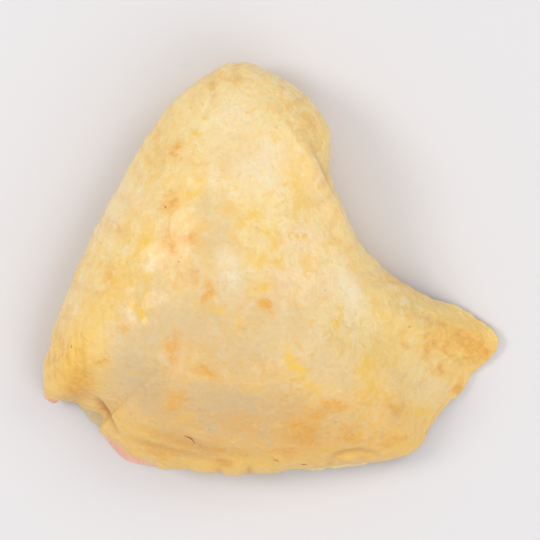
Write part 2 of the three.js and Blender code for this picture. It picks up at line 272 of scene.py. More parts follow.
class Rows:
    """What the sections need, at shares u of the way round the rim."""

    def __init__(self, u):
        u = u % 1
        x, y, level, dome, tuck, turn, pull = through(RIM, np.interp(u * RIM_LENGTH, RIM_ALONG, RIM_T)).T
        out = np.stack([x, y], axis=1) - CROWN
        reach = np.linalg.norm(out, axis=1)
        self.turn = np.clip(turn, 0, 1)
        self.out = out / reach[:, None]
        self.radius = reach + wave_sum(HEM_RIPPLES, u) * (1 - self.turn)
        self.level = level + wave_sum(HEM_WAVES, u) * (1 - self.turn)
        self.dome = dome
        self.tuck = tuck
        self.flat = smooth(*FLAP_DOMES, dome)
        self.pull = pull
        turned = np.arctan2(out[:, 1], out[:, 0])
        self.evened = evened_radius(u)
        self.broad = sum(a * np.cos(k * turned) + b * np.sin(k * turned) for k, (a, b) in enumerate(BROAD))


def rim_plan():
    """Even shares of the way round the rim, and the plan points there."""
    u = np.linspace(0, 1, RIM_STEPS, endpoint=False)
    rows = Rows(u)
    return u, CROWN + rows.out * rows.radius[:, None]


RIM_U, RIM_PLAN = rim_plan()


def rim_share(x, y):
    """The share of the way round the rim that is nearest to a plan point."""
    return RIM_U[np.argmin(np.hypot(RIM_PLAN[:, 0] - x, RIM_PLAN[:, 1] - y))]


def oval(x, y, middle_x, middle_y, half_length, half_width, turned):
    """1 in the middle of a turned oval, fading out to its half sizes and a little beyond."""
    angle = math.radians(turned)
    along = (x - middle_x) * math.cos(angle) + (y - middle_y) * math.sin(angle)
    across = (y - middle_y) * math.cos(angle) - (x - middle_x) * math.sin(angle)
    return np.exp(-(along / half_length) ** 2 - (across / half_width) ** 2)


def lump_height(x, y):
    height = np.zeros_like(x)
    for *place, rise in LUMPS:
        height += rise * oval(x, y, *place)
    return height


def fold_line(start, middle, end, steps):
    """Points of the parabola that passes through three points."""
    start, middle, end = (np.array(p, float) for p in (start, middle, end))
    control = 2 * middle - (start + end) / 2
    t = np.linspace(0, 1, steps + 1)[:, None]
    return (1 - t) ** 2 * start + 2 * t * (1 - t) * control + t ** 2 * end


def groove(x, y, line, width):
    """1 along a line, fading to its sides and its ends."""
    strongest = np.zeros_like(x)
    steps = len(line) - 1
    for i, (line_x, line_y) in enumerate(line):
        fade = max(0.0, math.sin(math.pi * i / steps)) ** GROOVE_END
        distance = np.hypot(x - line_x, y - line_y)
        strongest = np.maximum(strongest, fade * np.exp(-(distance / width) ** 2))
    return strongest


def groove_height(x, y, grooves):
    """How high grooves stand: below 0 where they are deep."""
    height = np.zeros_like(x)
    for line, width, depth in grooves:
        height -= depth * groove(x, y, line, width)
    return height


def fold_grooves():
    return [(fold_line(*path, FOLD_STEPS), width, depth) for *path, width, depth in FOLDS]


def wrinkle_grooves():
    grooves = []
    for first, last, count, width, depth in WRINKLE_ROWS:
        first, last = np.array(first, float), np.array(last, float)
        for k in range(count):
            share = k / (count - 1)
            bend = WRINKLE_BEND * math.sin(5.1 * k + width * 9)
            path = first + (last - first) * share + np.array([(bend, 0), (-bend, 0), (bend, 0)])
            grooves.append((fold_line(*path, WRINKLE_STEPS), width, depth))
    return grooves


def gather_grooves():
    """Uneven gathers: each is a little off its even place, longer or shorter, and leans a little."""
    grooves = []
    for start, end, count, length, width, depth in GATHERS:
        k = np.arange(count)
        first, last = rim_share(*start), rim_share(*end)
        if last < first:
            last += 1
        share = first + (last - first) * (k + 0.5 + 0.35 * np.sin(2.7 * k + count)) / count
        long = length * (0.75 + 0.25 * np.sin(4.1 * k + width))
        lean = GATHER_LEAN * np.sin(3.3 * k + depth)
        outer, inner = Rows(share), Rows(share + lean)
        for i in range(count):
            outside = CROWN + outer.out[i] * (outer.radius[i] + GATHER_OVERHANG)
            inside = CROWN + inner.out[i] * (inner.radius[i] - long[i])
            middle = (outside + inside) / 2 + lean[i] * GATHER_BEND
            uneven = 0.6 + 0.4 * math.sin(5.3 * i + length)
            grooves.append((fold_line(outside, middle, inside, GATHER_STEPS), width, depth * uneven))
    return grooves


def dome_height(rows, distance, top, radius, level):
    """A broad round near the crown, the evened rim further out, and the rim itself only at the edge."""
    near_rim = smooth(CORNERS_FROM, 1, distance / radius)
    inner = rows.broad + (rows.evened - rows.broad) * near_rim - (rows.radius - radius)
    reach = inner + (radius - inner) * smooth(NOTCHES_FROM, 1, distance / radius)
    dome = CROWN_DOME + (rows.dome - CROWN_DOME) * near_rim
    return level + (top - level) * np.maximum(0, 1 - (distance / reach) ** 2) ** dome


def placed(rows, distance, z, angle, lift):
    """Points at a distance from the crown, moved out by lift along the section's own normal."""
    plan = CROWN + rows.out * distance[:, None]
    rise = lift(plan[:, 0], plan[:, 1]) * (1 - smooth(*LIFT_FADE, angle))
    plan = plan + rows.out * (rise * np.sin(angle))[:, None]
    return np.column_stack([plan, z + rise * np.cos(angle)])


def skin_points(u, reach, inset, lift):
    """One side of the skin: inset 0 is the outside, the skin's thickness is the inside."""
    rows = Rows(u)
    radius = rows.radius - inset * (1 - rows.flat)
    level = rows.level - inset * rows.flat
    upper_share = 1 / (1 + UNDER_CURL_PATH * rows.turn)
    share = np.minimum(1, reach / upper_share)
    angle = share * math.pi / 2 * (1 - rows.flat) + np.arcsin(share) * rows.flat
    top_distance = radius * np.sin(angle)
    top_z = dome_height(rows, top_distance, CROWN_HEIGHT - inset, radius, level)
    beyond = np.clip((reach - upper_share) / np.maximum(1e-9, 1 - upper_share), 0, 1)
    curl = np.where(reach > upper_share, beyond * rows.turn * math.pi / 2, 0)
    under_distance = radius - (rows.tuck - inset * (1 - rows.flat)) * (1 - np.cos(curl))
    under_z = level - (level - inset - TABLE_CLEARANCE) * np.sin(curl)
    under = reach > upper_share
    distance = np.where(under, under_distance, top_distance)
    z = np.where(under, under_z, top_z)
    return placed(rows, distance, z, angle + curl, lift)


def flesh_rim(rows):
    """How far from the crown and how high the flesh's widest line is."""
    radius = rows.radius - FLESH_INSET * (1 - rows.flat) - rows.pull
    return radius, rows.level * rows.turn + CUT_FACE_HEIGHT * (1 - rows.turn)


def flesh_upper(u, reach):
    rows = Rows(u)
    radius, level = flesh_rim(rows)
    sink = np.maximum(0, -rows.pull) / 2
    angle = reach * math.pi / 2
    distance = radius * np.sin(angle)
    edge = distance / radius
    follow = dome_height(rows, distance, CROWN_HEIGHT, rows.radius, rows.level)
    follow = follow - FLESH_INSET - sink * edge ** 4
    z = level + np.maximum(0, follow - level) * np.sqrt(np.maximum(0, 1 - edge ** 8))
    return placed(rows, distance, z, angle, lump_height)


def under_hollow(x, y):
    """How far the underside stands off the table, inside its step."""
    height = np.full_like(x, HOLLOW_HEIGHT)
    for spot_x, spot_y, flat in RESTING_SPOTS:
        height *= np.clip((np.hypot(x - spot_x, y - spot_y) - flat) / HOLLOW_RUN, 0, 1)
    return height


def flesh_under(u, reach):
    rows = Rows(u)
    radius, level = flesh_rim(rows)
    over_tuck = smooth(*ROOM_ABOVE, rows.turn)
    shelf = HOLLOW_HEIGHT * (1 - over_tuck) + (FLESH_INSET + TABLE_CLEARANCE) * over_tuck
    tuck_end = rows.radius - rows.tuck * smooth(*ROOM_WITHIN, rows.turn)
    curl_end = np.minimum(radius - LEAST_CURL, tuck_end - TUCK_CLEARANCE)
    curl = np.clip((1 - reach) / (1 - CURL_FROM), 0, 1) * math.pi / 2
    curl_distance = curl_end + (radius - curl_end) * np.cos(curl)
    curl_z = shelf + (level - shelf) * (1 - np.sin(curl))
    step = smooth(STEP_FROM, CURL_FROM, reach)
    climbed = np.clip((reach - STEP_FROM) / (CURL_FROM - STEP_FROM), 0, 1)
    step_distance = curl_end - UNDER_STEP + UNDER_STEP * climbed
    flat_distance = (curl_end - UNDER_STEP) * np.minimum(1, reach / STEP_FROM)
    inner = np.where(reach > STEP_FROM, step_distance, flat_distance)
    distance = np.where(reach >= CURL_FROM, curl_distance, inner)
    plan = CROWN + rows.out * distance[:, None]
    flat_z = under_hollow(plan[:, 0], plan[:, 1]) * (1 - step) + shelf * step
    return np.column_stack([plan, np.where(reach >= CURL_FROM, curl_z, flat_z)])


# Square grids bent into discs
def bent_grid(cells):
    """The share round the rim and the reach from the crown of each corner of a square grid, row by row."""
    line = np.linspace(-1, 1, cells + 1)
    line[cells // 2] = 0
    a, b = (g.ravel() for g in np.meshgrid(line, -line))
    reach = np.maximum(abs(a), abs(b))
    wide = abs(a) >= abs(b)
    safe_a = np.where(a == 0, 1, a)
    safe_b = np.where(b == 0, 1, b)
    eighths = np.where(wide, b / safe_a, 2 - a / safe_b)
    opposite = np.where(wide, a < 0, b < 0)
    return np.where(reach > 0, eighths / 8 + opposite / 2, 0), reach


def grid_faces(cells):
    """The grid's quads, facing up where the grid is seen from above."""
    corner = np.arange(cells * (cells + 1)).reshape(cells, cells + 1)[:, :-1].ravel()
    return np.column_stack([corner, corner + cells + 1, corner + cells + 2, corner + 1])


def border(cells):
    """The grid's border corners, anticlockwise from above."""
    index = np.arange((cells + 1) ** 2).reshape(cells + 1, cells + 1)
    return np.concatenate([index[:-1, 0], index[-1, :-1], index[:0:-1, -1], index[0, :0:-1]])


def ring_faces(outer, inner):
    """Quads between two rings of the same count, facing out where the outer ring is above the inner."""
    return np.column_stack([outer, inner, np.roll(inner, -1), np.roll(outer, -1)])


def closed_shell(upper, lower, cells, bulge, rings):
    """Points and quads of two grids joined round their borders, by rings that bulge out to a rounded edge."""
    count = (cells + 1) ** 2
    edge = border(cells)
    start, end = upper[edge], lower[edge]
    before = np.roll(start, 1, axis=0)
    after = np.roll(start, -1, axis=0)
    way = np.cross(after - before, start - end)
    way /= np.maximum(1e-9, np.linalg.norm(way, axis=1))[:, None]
    points, faces = [upper, lower], [grid_faces(cells), grid_faces(cells)[:, ::-1] + count]
    last = edge
    for k in range(1, rings):
        turn = math.pi * k / rings
        ring = (start + end) / 2 + (start - end) / 2 * math.cos(turn) + way * bulge * math.sin(turn)
        here = np.arange(len(edge)) + count * 2 + len(edge) * (k - 1)
        points.append(ring)
        faces.append(ring_faces(last, here))
        last = here
    faces.append(ring_faces(last, edge + count))
    return np.concatenate(points), np.concatenate(faces)


def welded_shell(upper, lower, cells):
    """Points and quads of two grids that share a border, and which of the grids' points were kept."""
    count = (cells + 1) ** 2
    edge = border(cells)
    new_index = np.arange(2 * count)
    kept = np.ones(2 * count, bool)
    kept[edge + count] = False
    new_index[kept] = np.arange(kept.sum())
    new_index[edge + count] = new_index[edge]
    faces = np.concatenate([grid_faces(cells), grid_faces(cells)[:, ::-1] + count])
    return np.concatenate([upper, lower])[kept], new_index[faces], kept


def plan_shift():
    """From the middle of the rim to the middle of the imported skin's box, in millimetres."""
    low, high = (np.array(corner)[:2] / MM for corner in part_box("skin"))
    middle = (low + high) / 2 - (RIM_PLAN.min(0) + RIM_PLAN.max(0)) / 2
    return np.array([middle[0], middle[1], 0.0])


SHIFT = plan_shift()


def put(name, data):
    """A new object in the scene."""
    made = bpy.data.objects.new(name, data)
    bpy.context.scene.collection.objects.link(made)
    return made


def mesh_object(name, points, faces):
    """A smooth mesh object from points in millimetres."""
    mesh = bpy.data.meshes.new(name)
    mesh.from_pydata(((points + SHIFT) * MM).tolist(), [], faces)
    mesh.validate()
    mesh.polygons.foreach_set("use_smooth", [True] * len(mesh.polygons))
    return put(name, mesh)


def points_of(piece):
    """The piece's points in millimetres, without the shift to the frame."""
    co = np.empty(len(piece.data.vertices) * 3)
    piece.data.vertices.foreach_get("co", co)
    return co.reshape(-1, 3) / MM - SHIFT


def push_out(piece, height):
    """Moves each point along its normal by height, in millimetres."""
    normal = np.empty(len(piece.data.vertices) * 3)
    piece.data.vertices.foreach_get("normal", normal)
    points = points_of(piece) + normal.reshape(-1, 3) * height[:, None]
    piece.data.vertices.foreach_set("co", ((points + SHIFT) * MM).ravel())
    piece.data.update()


def rough(points, size, octaves, offset=(0, 0, 0)):
    """Fractal noise about 0 at points in millimetres, with lumps of that size."""
    shifted = points / np.asarray(size, float) + np.asarray(offset, float)
    return np.array([noise.fractal(p, 1.0, 2.1, octaves, noise_basis="PERLIN_ORIGINAL") for p in shifted])


def paint(piece, name, values):
    """Stores one number a point, for the materials to read."""
    attribute = piece.data.attributes.new(name, "FLOAT", "POINT")
    attribute.data.foreach_set("value", np.asarray(values, np.float32))


def paint_vector(piece, name, values):
    attribute = piece.data.attributes.new(name, "FLOAT_VECTOR", "POINT")
    attribute.data.foreach_set("vector", np.asarray(values, np.float32).ravel())


class Value:
    """A node's socket. Arithmetic on it adds Math nodes."""

    def __init__(self, nodes, socket):
        self.nodes = nodes
        self.socket = socket

    def math(self, operation, first, second):
        terms = {"Value": first, "Value_001": second}
        return self.nodes.node("ShaderNodeMath", {"operation": operation}, terms)

    def __add__(self, other):
        return self.math("ADD", self, other)

    def __rsub__(self, other):
        return self.math("SUBTRACT", other, self)

    def __mul__(self, other):
        return self.math("MULTIPLY", self, other)

    __radd__ = __add__
    __rmul__ = __mul__

    def least(self, other):
        return self.math("MINIMUM", self, other)

    def step(self, low, high):
        """0 below low, 1 above high, and a smooth step between."""
        return self.nodes.node(
            "ShaderNodeMapRange",
            {"interpolation_type": "SMOOTHSTEP"},
            {"Value": self, "From Min": low, "From Max": high},
        )


class Nodes:
    """A node tree being built."""

    def __init__(self, tree):
        self.tree = tree

    def node(self, kind, settings=None, values=None, output=0):
        """A node: its settings first, then its sockets by identifier. Returns one of its outputs."""
        made = self.tree.nodes.new(kind)
        for name, value in (settings or {}).items():
            setattr(made, name, value)
        sockets = {socket.identifier: socket for socket in made.inputs}
        for name, value in (values or {}).items():
            self.feed(sockets[name], value)
        outputs = {socket.identifier: socket for socket in made.outputs}
        return Value(self, outputs[output] if isinstance(output, str) else made.outputs[output])

    def feed(self, socket, value):
        if isinstance(value, Value):
            self.tree.links.new(value.socket, socket)
        else:
            socket.default_value = value


class Finish(Nodes):
    """A material being built round one Principled shader."""

    def __init__(self, name):
        self.material = bpy.data.materials.new(name)
        self.material.use_nodes = True
        super().__init__(self.material.node_tree)

    def done(self, **sockets):
        """Feeds the shader, and returns the material."""
        shader = self.tree.nodes["Principled BSDF"]
        for name, value in sockets.items():
            self.feed(shader.inputs[name.replace("_", " ")], value)
        return self.material

    def mask(self, name):
        return self.node("ShaderNodeAttribute", {"attribute_name": name}, output="Fac")

    def place(self):
        return self.node("ShaderNodeTexCoord", output="Object")

    def noise(self, vector, size, detail=3.0, roughness=0.5, distortion=0.0):
        """Noise from 0 to 1 with lumps of that size in millimetres, on Object coordinates in metres."""
        return self.node("ShaderNodeTexNoise", values={
            "Vector": vector,
            "Scale": 1 / (size * MM),
            "Detail": detail,
            "Roughness": roughness,
            "Distortion": distortion,
        })

    def layers(self, ground, *layers):
        """The ground colour under layers: each one's colour, and how thickly it covers what is below it."""
        colour = srgb(*ground)
        for tone, cover in layers:
            values = {"Factor_Float": cover, "A_Color": colour, "B_Color": srgb(*tone)}
            colour = self.node("ShaderNodeMix", {"data_type": "RGBA"}, values, output="Result_Color")
        return colour

    def bumps(self, *bumps):
        """Bumps on one another: each one's height from 0 to 1, and the millimetres that 1 stands for."""
        below = {}
        for height, depth in bumps:
            values = {"Height": height, "Distance": depth * MM, "Strength": 1.0, **below}
            below = {"Normal": self.node("ShaderNodeBump", values=values)}
        return below["Normal"]


def srgb(red, green, blue):
    """A display colour of 0 to 255 as a linear one."""
    def linear(value):
        value /= 255
        return value / 12.92 if value <= 0.04045 else ((value + 0.055) / 1.055) ** 2.4
    return (linear(red), linear(green), linear(blue), 1.0)


# Where the skin's colours lie, as seen from above: x, y, half length, half width, turn in degrees, strength
PATCHES = {
    "yellow": (
        (-17.9, 33.8, 1.3, 1.2, 0, 0.8), (-17.8, 20.6, 4.2, 1.3, 52, 0.9), (-30, 7.6, 3.6, 1.9, 75, 0.8),
        (-29.6, -2.6, 5.5, 1.6, 85, 0.6), (-4.4, 13.8, 3, 1.2, 30, 0.8), (-8.6, 9.6, 1.1, 1, 0, 0.6),
        (0.2, 9, 3.6, 1.2, -62, 0.9), (-2.4, 3.8, 2.2, 1.3, 15, 0.8), (2.8, 2.6, 2.4, 1.3, -50, 0.5),
        (-1.8, -2.8, 2.6, 1.9, 10, 1), (-11.2, -9, 2.1, 1.3, 0, 0.7), (-6.6, -11.2, 2.2, 0.9, 75, 0.8),
        (-31.7, -9.8, 3, 1, -60, 1.2), (17.6, -12, 2.7, 0.9, 85, 0.9), (6.8, -22, 4.2, 1.5, -55, 1.2),
        (10.9, -28, 2.2, 1.4, 0, 0.9), (-2.9, -28, 2.6, 1.8, 0, 0.5), (24.6, -22.8, 4.4, 1.4, 80, 0.7),
        (25.2, -28, 2.4, 1.8, -30, 0.7), (37.6, -36.1, 2.2, 1, -15, 0.9), (-42.2, -28.6, 1.8, 0.6, 10, 0.9),
        (6.6, 22.5, 6, 3, -70, 0.4), (7.4, 14.4, 3.2, 1.4, 75, 0.4), (-37, -4, 7, 4, 60, 0.4),
        (-41, -8, 5, 3, 70, 0.4), (-21, -36, 3, 1.6, 20, 0.4), (26.5, -8, 5, 2, -60, 0.5),
        (33, -44, 4, 1.4, 0, 0.4), (-14, 40, 3, 1.2, 40, 0.4), (-24, 24, 3.4, 1.4, 60, 0.4),
    ),
    "orange": (
        (-22.8, 30, 3.2, 1.7, 10, 0.7), (-23.5, 17.6, 2.6, 2.3, 0, 0.8), (-24, 7.4, 4.4, 2.5, 85, 0.95),
        (-20, 8.6, 3.4, 2.2, 0, 0.6), (-17.6, -0.2, 2.2, 1.5, -60, 0.6), (-14.8, -4.6, 1.7, 1, 80, 0.8),
        (0, -8.2, 1.5, 1.3, 0, 1.5), (15.6, 9.5, 5.5, 1.4, -62, 0.2), (-34.8, -13.2, 1.4, 1.1, 0, 0.6),
        (-38.6, -1.6, 3, 2.4, -30, 0.6), (-41.4, -21.4, 1.7, 1.1, 0, 0.6), (-23.2, -18.6, 5, 1.3, 85, 0.65),
        (-22.6, -31.6, 2.4, 2, 0, 0.7), (-16, -23.8, 1.6, 1.1, -30, 1.2), (-13.3, -25, 1.8, 1.2, -30, 1),
        (-11.8, -47.8, 1.5, 1, 0, 1.1), (16.6, -32.5, 2.6, 1.5, 0, 1), (11.8, -34, 3.2, 1.5, 0, 0.7),
        (8.6, -40, 5.5, 3.6, -50, 0.9), (4.5, -45, 3.6, 2, 0, 0.8), (19.6, -41, 2.6, 1.8, 0, 0.7),
        (31.2, -34.2, 3.2, 1.3, -32, 0.8), (32.8, -42, 2.4, 1.2, 0, 0.9), (29.3, -44, 1.8, 1.2, 0, 0.8),
        (39.3, -19.8, 2.2, 1.5, 80, 0.6), (42.2, -25, 2.2, 1.5, 0, 0.6), (46.8, -30.2, 2, 1.1, 60, 0.8),
        (34.2, -18.6, 1.2, 1, 0, 0.5), (-48, -29.2, 5, 3.4, 60, 0.9), (-6, -36.5, 5, 2.4, 0, 0.4),
        (-28, -45, 5, 2, -20, 0.6), (51.5, -19.5, 6, 3, -35, 0.9), (-10, 47.5, 5, 1.4, -5, 0.4),
    ),
    "grey": (
        (-12, 10, 7, 4, 85, 0.7), (-34.5, -21.5, 10, 6, 85, 1.1), (-20.5, -12, 6, 5, 20, 0.7),
        (-14.5, 16, 5, 4, 60, 0.7), (5.5, -12, 9, 6, -30, 0.6), (-8, -31, 12, 6, 0, 0.55),
        (-9.6, -1.5, 5, 3, 90, 0.8), (14, -22, 7, 6, 0, 0.6), (-30.5, -33, 8, 4, -25, 0.5),
        (-9, 28, 7, 5, 0, 0.5), (-3, -19, 8, 4, 0, 0.6), (-14.9, -38.8, 1.4, 0.8, 0, 1),
    ),
    "pink": (
        (1, 28.5, 3.6, 3, 0, 0.7), (7.6, 8.8, 4, 4, 0, 0.8), (3, -2, 6, 3, 20, 0.8),
        (-31.5, 17.5, 3, 2.4, 0, 0.6), (-23, -20.5, 6, 1.6, 85, 0.8), (-35.5, -9, 4, 1.2, -65, 0.7),
        (-21.4, -31.4, 2.6, 2.6, 0, 0.7), (12, -3, 5, 4, 0, 0.7), (30.5, -26, 3.6, 2, -30, 0.5),
        (6, -42.5, 4, 2, 0, 0.6), (1.5, 21.5, 2.4, 2, 0, 0.5), (-17.8, 0, 3, 2, 0, 0.5),
    ),
    # Pale cream places, and painted highlight along the right ridge and its slope and on the flap
    "pale_and_highlight": (
        (-9.4, -0.4, 5, 2.6, 85, 0.8), (-29.4, 2.6, 2.2, 1.9, 0, 0.9), (-13, 24.5, 3.4, 1.8, 80, 0.7),
        (-10.5, 3.5, 3, 2.4, 30, 0.7), (-2.5, 26, 7, 6, 0, 0.7), (19.5, -3.5, 7, 3.6, -60, 0.85),
        (-9, 39, 9, 6, 0, 0.6), (39, -28, 9, 5, -45, 0.45), (34, -22, 3, 4, 0, 0.3),
        (13.4, 15.5, 12, 3, -62, 0.3), (-34.4, -8, 2.6, 0.9, -65, 0.7), (-38, 17, 9, 4, 60, 0.6),
        (-48.5, -8.5, 9, 3.2, 68, 0.35),
    ),
    "gold": (
        (-44, 2, 30, 8, 62, 0.15), (-49, -23, 12, 7, 78, 1.2), (48, -20, 13, 8, -28, 0.95),
        (20, 6, 20, 4, -58, 0.4), (-27, 34, 16, 5, 52, 0.35), (13, 36, 10, 4.5, -72, 0.4),
        (36, -44, 10, 5, 30, 0.5), (0, -50, 40, 5, 0, 0.8), (31, -20, 9, 7, -20, 0.45),
        (-34.5, -38.5, 8, 4, -25, 0.4),
    ),
    "thin": (
        (-11, -15, 20, 17, -20, 1), (-10, -34, 26, 10, -5, 1.4), (-28, -28, 9, 9, 0, 1.35),
        (10, -20, 12, 12, 0, 0.55), (-15, 4, 8, 9, 0, 0.45), (-27, -12, 7, 12, 0, 1.1),
    ),
}


def patches(x, y, spots):
    cover = np.zeros_like(x)
    for *place, strength in spots:
        cover = np.maximum(cover, strength * oval(x, y, *place))
    return cover


def make_skin():
    u, reach = bent_grid(SKIN_GRID)
    folds = fold_grooves()
    outside = skin_points(u, reach, 0.0, lambda x, y: lump_height(x, y) + groove_height(x, y, folds))
    inside = skin_points(u, reach, SKIN_THICKNESS, lump_height)
    points, faces = closed_shell(outside, inside, SKIN_GRID, HEM_BULGE, HEM_RINGS)
    skin = mesh_object("draped_skin", points, faces.tolist())
    relief_skin(skin, u, reach)
    return skin


# Fine relief of the skin, size and height: broad swellings, dimples, and the rags of the hem, which begin in
# the last share of the way out
SWELLINGS = (9.0, 0.4)
DIMPLES = (3.0, 0.17)
RAGS = (1.8, 0.25)
HEM_BAND = (0.9, 1)
FLECK_HEIGHT = 0.1

# Fine creases run along the rim where the skin is gathered: their length, width and depth, the shares of the
# way out between which they come in, and how far from 0 the noise still makes one.
GRAIN_LENGTH = 7.0
GRAIN_WIDTH = 1.5
CREASE_DEPTH = 0.12
GATHERED_BAND = (0.45, 0.85)
CREASE_REACH = 0.35

# Size and reach of the noise that shifts the painted patches, and the depths at which a fold and a wrinkle
# have their full painted shade
WIDE_WARP = (5.0, 1.7)
FINE_WARP = (2.2, 0.7)
DEEP_FOLD = 1.3
DEEP_WRINKLE = 0.5

# Between these depths of fold the fine relief stops cutting in, so that the skin's two sheets stay apart.
GROOVE_FADE = (0.3, 0.8)

# Where the colours of the rim, the base and the knee end come in: shares of the way out, and places along y
# The rim's lighter yellow is partly its own golden colour and partly painted light on the edges.
RIM_BAND = (0.6, 1)
BASE_BAND = (-12, -46)
KNEE_BAND = (10, 42)


def warp(points, size, octaves, first, second):
    """Sideways noise in x and y."""
    return np.column_stack([rough(points, size, octaves, first), rough(points, size, octaves, second)])


def relief_skin(skin, u, reach):
    """Fine relief on the outer sheet and the hem, and the masks that the skin's colours follow."""
    points = points_of(skin)
    sheet = (SKIN_GRID + 1) ** 2
    x, y = points[:, 0], points[:, 1]
    edge = border(SKIN_GRID)
    rings = HEM_RINGS - 1
    all_u = np.concatenate([u, u, np.tile(u[edge], rings)])
    all_reach = np.concatenate([reach, reach, np.ones(len(edge) * rings)])
    rows = Rows(all_u)
    bare = skin_points(u, reach, 0.0, lambda x, y: 0 * x)
    folds = np.zeros(len(points))
    folds[:sheet] = groove_height(bare[:, 0], bare[:, 1], fold_grooves())
    outer = np.ones(len(points))
    outer[sheet:2 * sheet] = 0

    # A coordinate whose lumps are long along the rim and narrow in from it
    inward = (1 - all_reach) * rows.radius
    turns = 2 * math.pi * all_u
    round_rim = RIM_LENGTH / (2 * math.pi) / GRAIN_LENGTH
    grain = np.column_stack([np.cos(turns) * round_rim, np.sin(turns) * round_rim, inward / GRAIN_WIDTH])
    gathered = smooth(*GATHERED_BAND, all_reach)

    wide_size, wide_shift = WIDE_WARP
    fine_size, fine_shift = FINE_WARP
    wide_warp = warp(points, wide_size, 2, (1, 0, 4), (7, 3, 2))
    fine_warp = warp(points, fine_size, 1, (2, 8, 4), (6, 1, 9))
    warped_x, warped_y = (points[:, :2] + wide_shift * wide_warp + fine_shift * fine_warp).T
    covers = {name: patches(warped_x, warped_y, spots) for name, spots in PATCHES.items()}

    size, height = SWELLINGS
    relief = height * rough(points, size, 2)
    size, height = DIMPLES
    relief += height * rough(points, size, 2, offset=(5, 2, 0))
    ridges = rough(grain, 1.0, 2)
    relief -= CREASE_DEPTH * gathered * np.maximum(0, CREASE_REACH - abs(ridges)) / CREASE_REACH
    wrinkles = groove_height(x, y, wrinkle_grooves()) + groove_height(x, y, gather_grooves())
    relief += wrinkles
    relief += FLECK_HEIGHT * np.minimum(covers["yellow"], 1)
    hem = smooth(*HEM_BAND, all_reach) * (1 - rows.turn)
    size, height = RAGS
    relief += hem * height * rough(points, size, 2, offset=(9, 4, 1))
    relief = np.maximum(relief, 0) + np.minimum(relief, 0) * (1 - smooth(*GROOVE_FADE, -folds))
    push_out(skin, relief * outer)

    for name, cover in covers.items():
        paint(skin, name, cover)
    # Painted shade in the grooves of the folds, darker the deeper they are
    paint(skin, "fold_shade", np.clip(-folds / DEEP_FOLD, 0, 1) ** 2)
    # Painted shade in the grooves of the wrinkles and gathers
    paint(skin, "wrinkle", np.clip(-wrinkles / DEEP_WRINKLE, 0, 1))
    paint(skin, "gathered", gathered)
    paint(skin, "rim", smooth(*RIM_BAND, all_reach))
    paint(skin, "base", smooth(*BASE_BAND, y))
    paint(skin, "knee", smooth(*KNEE_BAND, y))
    paint(skin, "inside", 1 - outer)
    paint_vector(skin, "grain", grain)


